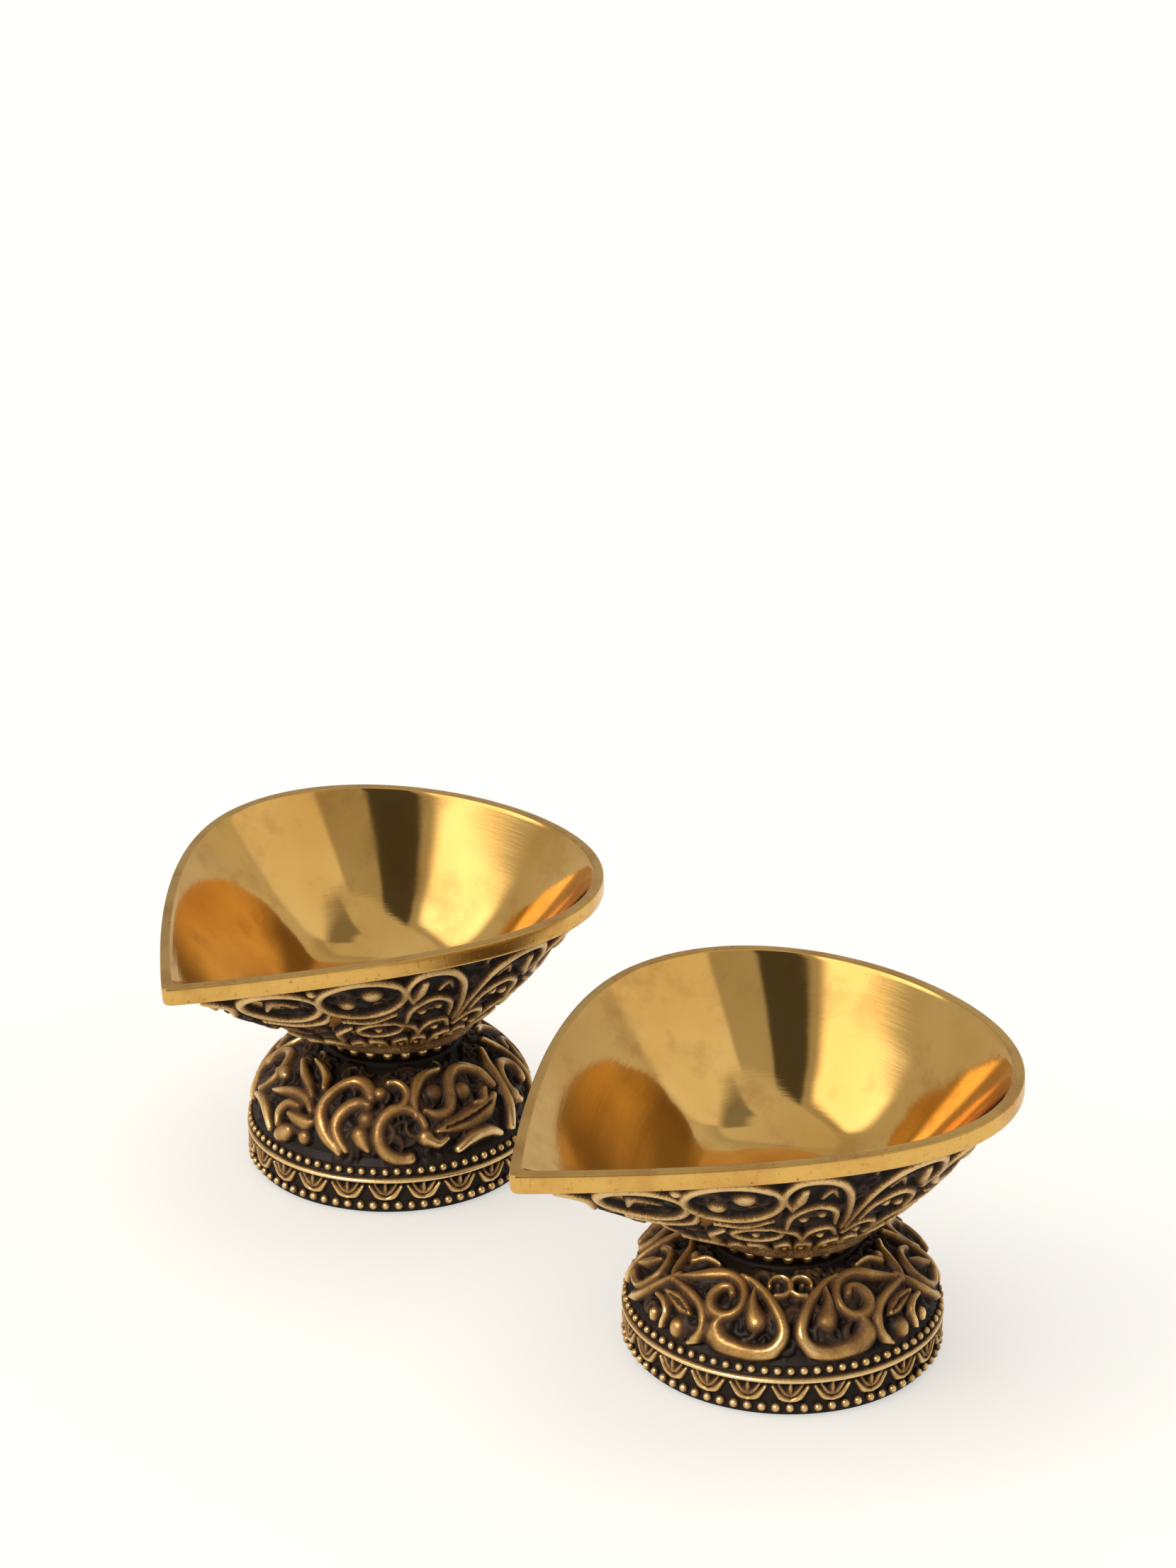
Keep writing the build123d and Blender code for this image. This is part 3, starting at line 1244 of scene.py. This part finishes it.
@dataclass
class Pedestal:
    """The hollow domed casting: scrollwork on the dome, petals and beads on the band."""

    lamp: Lamp
    columns: int = 660
    band_radius: float = 21.6
    band_height: float = 7.8
    band_depth: float = 0.95
    dome_depth: float = 1.8
    hollow_radius: float = 19.4
    wall: float = 2.8
    bore: float = 2.55
    petals: int = 24
    front_span: float = 16.9
    back_span: float = 19.2
    shoulder: tuple[tuple[float, float], ...] = (
        (20.4, 8.1), (20.15, 9.4), (19.05, 11.3), (16.9, 13.1), (14.5, 14.4), (12.2, 15.3), (10.7, 16.0),
    )

    def __post_init__(self) -> None:
        """Reads the dome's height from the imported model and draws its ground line."""
        self.top = self.lamp.box("pedestal")[1].z
        stretch = (self.top - self.band_height) / 8.6
        knots = [(r, self.band_height + (z - self.band_height) * stretch) for r, z in self.shoulder]
        line = smooth_path(knots, 400)
        travel = np.concatenate([[0], np.cumsum(np.hypot(*np.diff(line, axis=0).T))])
        self.dome_length = float(travel[-1])
        self.steps = np.linspace(0, self.dome_length, int(self.dome_length / 0.19))
        self.dome = np.stack([np.interp(self.steps, travel, line[:, k]) for k in (0, 1)], -1)

    def front_motif(self) -> list[Shape]:
        """Half of the mirrored scrolls.

        Returns:
            Their shapes, in degrees from the middle and mm above the band.
        """
        return [
            Ribbon(((-27, 13.2), (-19, 12.4), (-11, 10.2), (-5, 7.0), (-3, 4.0), (-6.5, 1.7),
                    (-13, 0.9), (-20, 1.1), (-26, 1.7), (-29.5, 2.9)),
                   (0.45, 0.7, 0.85, 0.95, 1.0, 1.0, 1.0, 1.15, 1.45, 1.6)),
            Ribbon(((-29.5, 2.6), (-29.4, 4.0), (-27.4, 5.4)), (1.5, 1.0, 0.4)),
            Ribbon(((-17.6, 11.2), (-17.0, 8.8), (-15.2, 6.6), (-13.8, 5.6)), (0.3, 0.75, 1.4, 1.55)),
            Ribbon(((-57, 8.5), (-50, 10.2), (-42, 12.2), (-34, 12.9), (-26.5, 12.1), (-22.2, 10.2),
                    (-21.4, 7.9), (-24, 6.1), (-29, 5.4), (-34.2, 6.2), (-36.4, 8.3), (-34.2, 10.1),
                    (-30, 10.5), (-27.4, 9.4)),
                   (0.4, 0.95, 1.15, 1.0, 0.9, 0.8, 0.75, 0.8, 0.95, 1.05, 1.0, 0.85, 0.75, 0.7)),
            Ribbon(((-60, 7.6), (-52, 7.4), (-44, 6.8), (-38, 5.6), (-34.8, 3.6), (-35.5, 1.6),
                    (-39, 0.4)), (0.5, 0.75, 0.8, 0.85, 0.85, 0.8, 0.5)),
            Ribbon(((-57.5, 5.4), (-51.5, 5.3), (-46, 4.7), (-41, 4.1)), (0.4, 1.0, 1.05, 0.3)),
            Ribbon(((-55, 5.3), (-49, 5.0), (-42.5, 4.3)), (0.12, 0.24, 0.12), 0.4, True),
            Boss((-45.5, 1.5), 1.4),
            Ribbon(((-61, 4.2), (-56, 4.0), (-52.5, 2.8), (-52.8, 0.8)), (0.4, 0.6, 0.65, 0.4)),
            Boss((-58.5, 1.6), 0.95),
            Ribbon(((-58, 8.8), (-62, 6.6), (-66, 4.3), (-72, 1.9), (-78, 0.6)),
                   (0.6, 0.8, 0.85, 0.75, 0.5)),
            Ribbon(((-58.5, 7.2), (-62.5, 8.8), (-65.8, 11), (-70, 13), (-76, 14)),
                   (0.5, 0.8, 0.9, 0.8, 0.6)),
            Boss((-62.5, 12.9), 1.05),
            Ribbon(((-59.5, 12.0), (-55, 13.7), (-49, 14.1), (-44, 13.9)), (0.7, 0.6, 0.5, 0.35)),
            Scroll((-5.6, 12.3), (1.2, 1.5, 1.7), (200, -100), (0.35, 0.5, 0.5)),
            Boss((-6.0, 12.4), 0.5, 0.8),
            Scroll((-79, 6.8), (3.4, 3.2, 2.2), (-120, 120), (0.6, 0.85, 0.7)),
            Ribbon(((-85, 4.6), (-80, 6.4), (-75, 8.2)), (0.4, 1.1, 0.4)),
            Ribbon(((-90, 1.0), (-88.5, 5.0), (-89, 10.0), (-90, 13.6)), (0.9, 0.6, 0.9, 0.4)),
        ]

    def back_motif(self) -> list[Shape]:
        """The loose crescents and rings of the other side.

        Returns:
            Their shapes, in degrees from the middle and mm above the band.
        """
        return [
            Ribbon(((-7.5, 11.3), (-9.5, 12.9), (-14, 14.3), (-20, 14.4), (-26, 12.9), (-30.5, 10),
                    (-31, 7.6), (-28.5, 5.2), (-24.5, 3.2), (-19, 1.4)),
                   (0.95, 1.15, 1.1, 0.9, 0.85, 0.95, 1.1, 1.15, 1.05, 0.6)),
            Ribbon(((-8.5, 9.9), (-12, 10.2), (-17, 9.5), (-21, 7.6), (-21.8, 5.4), (-19.5, 3.4),
                    (-16, 1.8)), (0.8, 1.0, 1.1, 1.1, 1.0, 0.85, 0.5)),
            Boss((-8.7, 7.4), 1.3),
            Ribbon(((-10.8, 4.5), (-9.6, 3.6), (-7.0, 2.2)), (1.35, 1.2, 0.5)),
            Scroll((7.5, 5.0), (3.3, 3.5, 3.6), (12, 285), (0.7, 0.95, 1.1, 0.8)),
            Scroll((8.5, 5.0), (1.6, 1.8), (60, 330), (0.35, 0.5, 0.35), 0.5),
            Boss((17.2, 3.9), 1.2),
            Ribbon(((18.6, 3.4), (22, 2.6), (26, 3.2)), (0.9, 0.7, 0.4)),
            Boss((-3.3, 12.3), 1.1),
            Scroll((3.6, 12.0), (2.0, 2.1), (110, -95), (0.5, 0.8, 0.6)),
            Ribbon(((14, 7.6), (14.6, 11.4), (19, 14.4), (26, 15.8), (34, 16.0)),
                   (0.6, 0.85, 0.95, 0.85, 0.5)),
            Ribbon(((18.5, 8.4), (24, 7.4), (30, 7.9), (33.5, 10.2), (37, 13.2), (44, 14.9), (52, 14.6),
                    (58.5, 12.2), (59.5, 9.0)), (0.5, 0.85, 0.9, 0.95, 1.0, 1.0, 0.95, 0.9, 0.6)),
            Boss((26.2, 11.9), 1.35, 0.8),
            Boss((41.2, 10.6), 1.35),
            Ribbon(((44, 7.6), (49, 7.4), (53, 9.2)), (0.4, 0.7, 0.5)),
            Ribbon(((22, 4.7), (30, 5.2), (39, 5.5), (48, 6.0), (56, 7.4)), (0.3, 1.1, 1.55, 1.4, 0.6)),
            Ribbon(((26, 5.0), (38, 5.5), (52, 6.6)), (0.12, 0.26, 0.14), 0.4, True),
            Ribbon(((30, 1.0), (38, 2.3), (46, 2.4), (52, 1.2)), (0.5, 0.9, 0.9, 0.5)),
            Ribbon(((60, 1.0), (63, 4.5), (65, 8.5), (69, 12.5), (76, 15)), (0.6, 0.9, 0.95, 0.9, 0.6)),
            Boss((69, 5.2), 1.35),
            Scroll((78, 7.0), (3.3, 3.0, 2.0), (230, -30), (0.6, 0.9, 0.7)),
            Ribbon(((-63, 7.0), (-55, 8.3), (-47, 9.0), (-40, 8.5), (-35.5, 7)),
                   (0.4, 0.85, 0.95, 0.95, 0.6)),
            Ribbon(((-51.5, 2.6), (-53, 4.8), (-49.5, 6.7), (-43, 7.0)), (0.5, 0.8, 0.8, 0.6)),
            Ribbon(((-46.5, 5.2), (-41.5, 4.9), (-36.5, 4.8), (-32.8, 5.3)), (0.5, 1.05, 1.05, 0.4)),
            Ribbon(((-50.5, 0.9), (-47.5, 1.7), (-44.5, 2.5)), (1.0, 1.3, 0.9)),
            Boss((-36.5, 2.3), 1.1, 0.8),
            Ribbon(((-72, 9.8), (-68, 10.3), (-64, 10.2)), (0.7, 1.3, 0.7)),
            Ribbon(((-62, 14.2), (-53, 12.6), (-45, 11.3), (-38.5, 9.6)), (0.5, 0.85, 0.85, 0.5)),
            Ribbon(((-34.5, 11.5), (-38, 13.8), (-45, 15.2), (-54, 15.8)), (0.5, 0.8, 0.7, 0.4)),
            Ribbon(((-56, 1.2), (-62, 3.0), (-69, 4.2), (-77, 3.6)), (0.5, 0.9, 1.0, 0.5)),
            Scroll((-81, 9.0), (3.6, 3.2, 2.4), (-60, 200), (0.6, 0.9, 0.7)),
        ]

    def petal(self, column: float) -> list[Shape]:
        """One hanging petal of the band: two pairs of leaves and a bead.

        Args:
            column: where it hangs, in degrees.

        Returns:
            Its shapes.
        """
        c = column
        leaves = [
            Ribbon(((c + 0.3, 2.5), (c - 3.2, 3.0), (c - 6.2, 4.6)), (0.3, 0.6, 0.3), 0.9),
            Ribbon(((c, 3.25), (c - 2.0, 3.7), (c - 4.2, 4.9)), (0.25, 0.42, 0.25), 0.85),
        ]
        middle = Ribbon(((c, 3.6), (c, 4.3), (c, 4.9)), (0.3, 0.5, 0.3), 0.85)
        return [middle, *leaves, *(leaf.mirrored(column) for leaf in leaves)]

    def dome_shapes(self) -> list[Shape]:
        """Both motifs, fitted to this dome's height, on opposite sides.

        Returns:
            The motifs' shapes and the small curls between them.
        """
        front = self.front_motif()
        shapes = front + [shape.mirrored(0.5) for shape in front]
        fitted = [stretched(shape, 0.0, self.dome_length / self.front_span, 1.1) for shape in shapes]
        factor = self.dome_length / self.back_span
        fitted += [stretched(shape, 180.0, factor, 1.25) for shape in self.back_motif()]
        return fitted + filler((-180, 180), (0.4, self.dome_length - 0.8), 460, 3)

    def build(self) -> None:
        """Makes the casting and its two rows of beads."""
        degrees = np.arange(self.columns) * (360 / self.columns) - 180
        levels = np.linspace(0.12, self.band_height - 0.1, 40)
        scales = np.full(len(levels), math.radians(self.band_radius))
        band = Relief(degrees, levels, scales, self.band_depth)
        shapes: list[Shape] = [Ribbon(((-181, 5.5), (-60, 5.5), (60, 5.5), (181, 5.5)), (0.5,))]
        for number in range(self.petals):
            shapes += self.petal(number * 360 / self.petals - 180)
        band_height = band.raise_shapes(shapes)
        dome = Relief(degrees, self.steps, np.radians(self.dome[:, 0]), self.dome_depth)
        fade = np.clip((self.dome_length - self.steps) / 0.5, 0, 1)
        dome_height = dome.raise_shapes(self.dome_shapes()) * fade[:, None]
        slope = np.gradient(self.dome, axis=0)
        slope /= np.linalg.norm(slope, axis=1, keepdims=True)
        outward = np.stack([slope[:, 1], -slope[:, 0]], -1)
        outward[:5] = outward[:5] * np.array([1.0, 0.0]) + np.array([0.001, 0.0])
        angle = np.radians(degrees)
        flat = np.stack([np.cos(angle), np.sin(angle)], -1)
        radius = np.concatenate([
            self.band_radius + band_height,
            self.dome[:, :1] + outward[:, :1] * dome_height,
        ])
        height = np.concatenate([
            np.repeat(levels[:, None], self.columns, 1),
            self.dome[:, 1:] + outward[:, 1:] * dome_height,
        ])
        outside = np.dstack([radius[..., None] * flat, height])
        ends = self.closing_rows(angle)
        rows = np.concatenate([ends[0], outside, ends[1]])
        marks_band = rubbed_marks(band_height, self.band_depth, 3)
        marks_dome = rubbed_marks(dome_height, self.dome_depth, 6)
        marks = {}
        for key, plain in (("rise", 0.35), ("wear", 0.22)):
            below, beyond = (np.full(part.shape[:2], plain) for part in ends)
            marks[key] = np.concatenate([below, marks_band[key], marks_dome[key], beyond])
        facing = self.lamp.dome_facing
        beads = bead_row(self.band_radius + 0.35, 1.35, 72, 0.63, 5, facing)
        beads += bead_row(self.band_radius + 0.30, 6.95, 78, 0.57, 7, facing)
        casting = Skin(rows, looped=True, marks=marks)
        for piece, skins, turn in (("casting", [casting], facing), ("beads", beads, 0.0)):
            self.lamp.add(f"pedestal_{piece}", skins, "antique_brass", "antique_fine", "pedestal", turn)

    def closing_rows(self, angle: np.ndarray) -> tuple[np.ndarray, np.ndarray]:
        """The foot's edge, and the top plate with the hollow under it.

        Args:
            angle: each column's angle.

        Returns:
            The rows below the band and the rows beyond the dome.
        """
        ceiling = self.top - self.wall
        start = [(self.hollow_radius + 0.15, 0.0), (self.band_radius - 0.15, 0.0)]
        vault = smooth_path(
            ((10.8, ceiling - 0.1), (15.2, ceiling - 1.6), (18.2, ceiling - 3.6),
             (self.hollow_radius, self.band_height - 1)), 12)
        finish = [
            (10.5, self.top - 0.2), (10.4, self.top - 0.06), (10.3, self.top),
            (self.bore + 0.05, self.top), (self.bore, self.top - 0.05), (self.bore, ceiling + 0.05),
            (self.bore + 0.05, ceiling), (10.0, ceiling), *map(tuple, vault),
            (self.hollow_radius, 4.0), (self.hollow_radius, 0.15),
        ]
        return ring_rows(start, angle), ring_rows(finish, angle)


def stretched(shape: Shape, column: float, factor: float, fat: float) -> Shape:
    """A shape carried round the dome and fitted to its height.

    Args:
        shape: the shape as drawn.
        column: how far round it is carried.
        factor: what its heights are multiplied by.
        fat: what its widths are multiplied by.

    Returns:
        The new shape.
    """
    if isinstance(shape, Boss):
        centre = (shape.centre[0] + column, shape.centre[1] * factor)
        return replace(shape, centre=centre, radius=shape.radius * fat)
    widths = tuple(width * fat for width in shape.widths)
    if isinstance(shape, Ribbon):
        path = tuple((x + column, y * factor) for x, y in shape.path)
        return replace(shape, path=path, widths=widths)
    return replace(shape, centre=(shape.centre[0] + column, shape.centre[1] * factor), widths=widths)


@dataclass
class Hardware:
    """The stud, washer and nut inside the pedestal."""

    lamp: Lamp
    stud: float = 2.5
    pitch: float = 0.8
    thread: float = 0.42
    washer: float = 5.0
    flats: float = 8.0
    slack: float = 0.06

    def build(self) -> None:
        """Makes the three pieces."""
        pieces = (
            ("stud_thread", "tie_stud", self.stud_skin, 0.0),
            ("washer_disc", "washer", self.washer_skin, 0.0),
            ("nut_body", "nut", self.nut_skin, self.lamp.yaw),
        )
        for piece, node, skin, turn in pieces:
            low, high = (corner.z for corner in self.lamp.box(node))
            self.lamp.add(piece, [skin(low, high)], "plated_steel", "steel", node, turn)

    def stud_skin(self, low: float, high: float) -> Skin:
        """A stud with a cut thread that winds up it.

        Args:
            low: the height of its lower end.
            high: the height of its upper end.

        Returns:
            Its surface.
        """
        levels = np.linspace(low + 0.01, high, 150)
        angle = full_circle(48)
        phase = (levels[:, None] / self.pitch - angle[None, :] / (2 * math.pi)) % 1.0
        cut = np.clip(1.6 * np.abs(phase - 0.5) - 0.15, 0, 0.6) / 0.6 * self.thread
        taper = np.clip((levels - low) / 0.5, 0.0, 1.0)[:, None]
        radius = (self.stud - cut) * (0.82 + 0.18 * taper)
        level = np.repeat(levels[:, None], len(angle), 1)
        return Skin(np.dstack([radius * np.cos(angle), radius * np.sin(angle), level]))

    def washer_skin(self, low: float, high: float) -> Skin:
        """A flat washer with eased edges, between two heights."""
        profile = eased_ring(self.stud + self.slack, self.washer, low, high, 0.12)
        return Skin(ring_rows(profile, full_circle(96)), looped=True)

    def nut_skin(self, low: float, high: float) -> Skin:
        """A hexagon nut with turned corners.

        Args:
            low: the height of its lower face.
            high: the height of its upper face.

        Returns:
            Its surface.
        """
        angle, sixth = full_circle(144), math.pi / 3
        inner, face = self.stud + self.slack, self.flats / 2
        hexagon = face / np.cos((angle + sixth / 2) % sixth - sixth / 2)
        limits = [
            (inner, low + 0.3), (inner + 0.3, low), (face + 0.02, low), (face + 0.35, low + 0.16),
            (9.0, low + 0.42), (9.0, high - 0.42), (face + 0.35, high - 0.16), (face + 0.02, high),
            (inner + 0.3, high), (inner, high - 0.3),
        ]
        rows = ring_rows(limits, angle)
        shrink = np.stack([np.minimum(hexagon, radius) / radius for radius, _ in limits])
        rows[..., :2] *= shrink[..., None]
        return Skin(rows, looped=True)


# Studio ----------------------------------------------------------------------------------------


@dataclass(frozen=True)
class Panel:
    """A soft-edged patch of the studio's walls, in degrees: 0 is toward the camera, 90 right."""

    around: tuple[float, float]
    above: tuple[float, float]
    level: float
    soft: float = 6.0


class Room(Shader):
    """The studio's walls and ceiling, which the brass mirrors and which light the scene."""

    def __init__(self, name: str) -> None:
        """Starts an empty surround.

        Args:
            name: the world's name.
        """
        world = bpy.data.worlds.new(name)
        bpy.context.scene.world = world
        world.use_nodes = True
        self.tree = world.node_tree
        self.tree.nodes.clear()

    def window(self, value: Signal, limits: tuple[float, float], soft: float) -> Signal:
        """1 between two angles, easing to 0 outside them.

        Args:
            value: the angle, in radians.
            limits: the two angles, in degrees.
            soft: the width of the easing, in degrees.

        Returns:
            The mask.
        """
        start, end = (
            value.between(math.radians(limit - soft), math.radians(limit + soft)) for limit in limits
        )
        return start * (1.0 - end)

    def build(self, base: float, panels: Iterable[Panel], tint: Colour, backdrop: Colour) -> None:
        """Paints the panels over a base level, and a plain backdrop for the camera.

        Args:
            base: how bright the walls are between the panels.
            panels: the patches, later ones over earlier ones.
            tint: the colour of the light.
            backdrop: what the camera itself sees.
        """
        place = self.node("ShaderNodeTexCoord").outputs["Generated"]
        split = self.node("ShaderNodeSeparateXYZ", None, {0: place})
        x, y, z = (Signal(self, split.outputs[axis]) for axis in "XYZ")
        around = x.join("ARCTAN2", x, y * -1.0)
        above = z.join("ARCSINE", z)
        level: Value = base
        for panel in panels:
            share = self.window(around, panel.around, panel.soft) * self.window(
                above, panel.above, panel.soft)
            level = level * (1.0 - share) + share * panel.level
        lit = self.node("ShaderNodeBackground", None, {"Color": tint, "Strength": level})
        plain = self.node("ShaderNodeBackground", None, {"Color": backdrop, "Strength": 1.0})
        seen = self.node("ShaderNodeLightPath").outputs["Is Camera Ray"]
        mixed = self.node("ShaderNodeMixShader", None, {0: seen, 1: lit.outputs[0], 2: plain.outputs[0]})
        self.node("ShaderNodeOutputWorld", None, {"Surface": mixed.outputs[0]})


@dataclass
class Studio:
    """A pale table in a softly lit room, and the camera."""

    table: bpy.types.Material
    relief: bpy.types.Collection
    panels: tuple[Panel, ...] = (
        Panel((-200, 200), (-95, 12), 0.62, 8.0),
        Panel((110, 205), (12, 48), 0.58, 8.0),
        Panel((22, 112), (24, 60), 0.80, 3.0),
        Panel((-205, -95), (5, 60), 0.50, 8.0),
        Panel((-100, -54), (20, 47), 1.85, 4.0),
        Panel((-46, -18), (10, 56), 0.07, 2.0),
        Panel((-200, 200), (55, 95), 0.60, 2.5),
        Panel((38, 118), (58, 76), 0.24, 4.0),
    )
    walls: float = 0.42
    tint: Colour = (1.0, 0.985, 0.955, 1.0)
    backdrop: Colour = (1.0, 0.982, 0.939, 1.0)
    lens_mm: float = 80.75
    eye: tuple[float, float, float] = (2.0, -460.5, 249.3)
    look_down: float = 21.03
    lean: float = 0.17

    def build(self) -> None:
        """Makes everything that isn't brass."""
        self.build_table()
        Room("studio_room").build(self.walls, self.panels, self.tint, self.backdrop)
        self.build_light("broad_light", 1.25, (14, -20, 0), 80)
        self.build_light("relief_light", 3.2, (40, -38, 0), 12, self.relief)
        self.build_camera()
        bpy.context.scene.view_settings.view_transform = "Standard"
        bpy.context.scene.view_settings.look = "None"

    def build_table(self) -> None:
        """The pale surface under the lamps."""
        reach = 6.0
        corners = [(-reach, -reach, 0), (reach, -reach, 0), (reach, reach, 0), (-reach, reach, 0)]
        mesh = bpy.data.meshes.new("table")
        mesh.from_pydata(corners, [], [(0, 1, 2, 3)])
        item = bpy.data.objects.new("table", mesh)
        bpy.context.scene.collection.objects.link(item)
        mesh.materials.append(self.table)

    def build_light(
        self, name: str, power: float, turned: tuple[float, float, float], spread: float,
        only: bpy.types.Collection | None = None,
    ) -> None:
        """A distant light: one that isn't mirrored, or one that lights only the relief.

        Args:
            name: the light's name.
            power: its strength.
            turned: its tilt from straight down, in degrees.
            spread: how wide it is, in degrees.
            only: the pieces that it lights; None lights everything but isn't mirrored.
        """
        light = bpy.data.lights.new(name, "SUN")
        light.energy = power
        light.angle = math.radians(spread)
        light.color = (1.0, 0.975, 0.93)
        item = bpy.data.objects.new(name, light)
        item.rotation_euler = tuple(math.radians(angle) for angle in turned)
        item.visible_glossy = only is not None
        if only:
            item.light_linking.receiver_collection = only
        bpy.context.scene.collection.objects.link(item)

    def build_camera(self) -> None:
        """The camera, looking down at the pair from the front."""
        lens = bpy.data.cameras.new("camera")
        lens.sensor_width = 36.0
        lens.lens = self.lens_mm
        lens.clip_start, lens.clip_end = 0.01, 50.0
        camera = bpy.data.objects.new("camera", lens)
        camera.location = Vector(self.eye) * MM
        tilt = Matrix.Rotation(math.radians(90 - self.look_down), 3, "X")
        camera.rotation_euler = (tilt @ Matrix.Rotation(math.radians(self.lean), 3, "Z")).to_euler()
        bpy.context.scene.collection.objects.link(camera)
        bpy.context.scene.camera = camera


def main() -> None:
    """Builds the lamps and the studio, and writes how large the result is."""
    logging.basicConfig(level=logging.INFO, format="%(name)s: %(message)s")
    finishes = {
        "mirror": MirrorBrass().material(),
        "satin": SatinBrass().material(),
        "antique_fine": AntiqueBrass(Casting.FINE).material(),
        "antique_grainy": AntiqueBrass(Casting.GRAINY).material(),
        "steel": PlatedSteel().material(),
    }
    relief = bpy.data.collections.new("relief_pieces")
    for name, yaw, facing in (("front", -138.5, -90.0), ("rear", -126.5, 90.0)):
        lamp = Lamp(name, yaw, facing, finishes, relief)
        bowl = Bowl(lamp)
        bowl.build_cup()
        bowl.build_relief()
        Collar(lamp).build()
        Pedestal(lamp).build()
        Hardware(lamp).build()
    Studio(PaleTable().material(), relief).build()


if __name__ == "__main__":
    main()
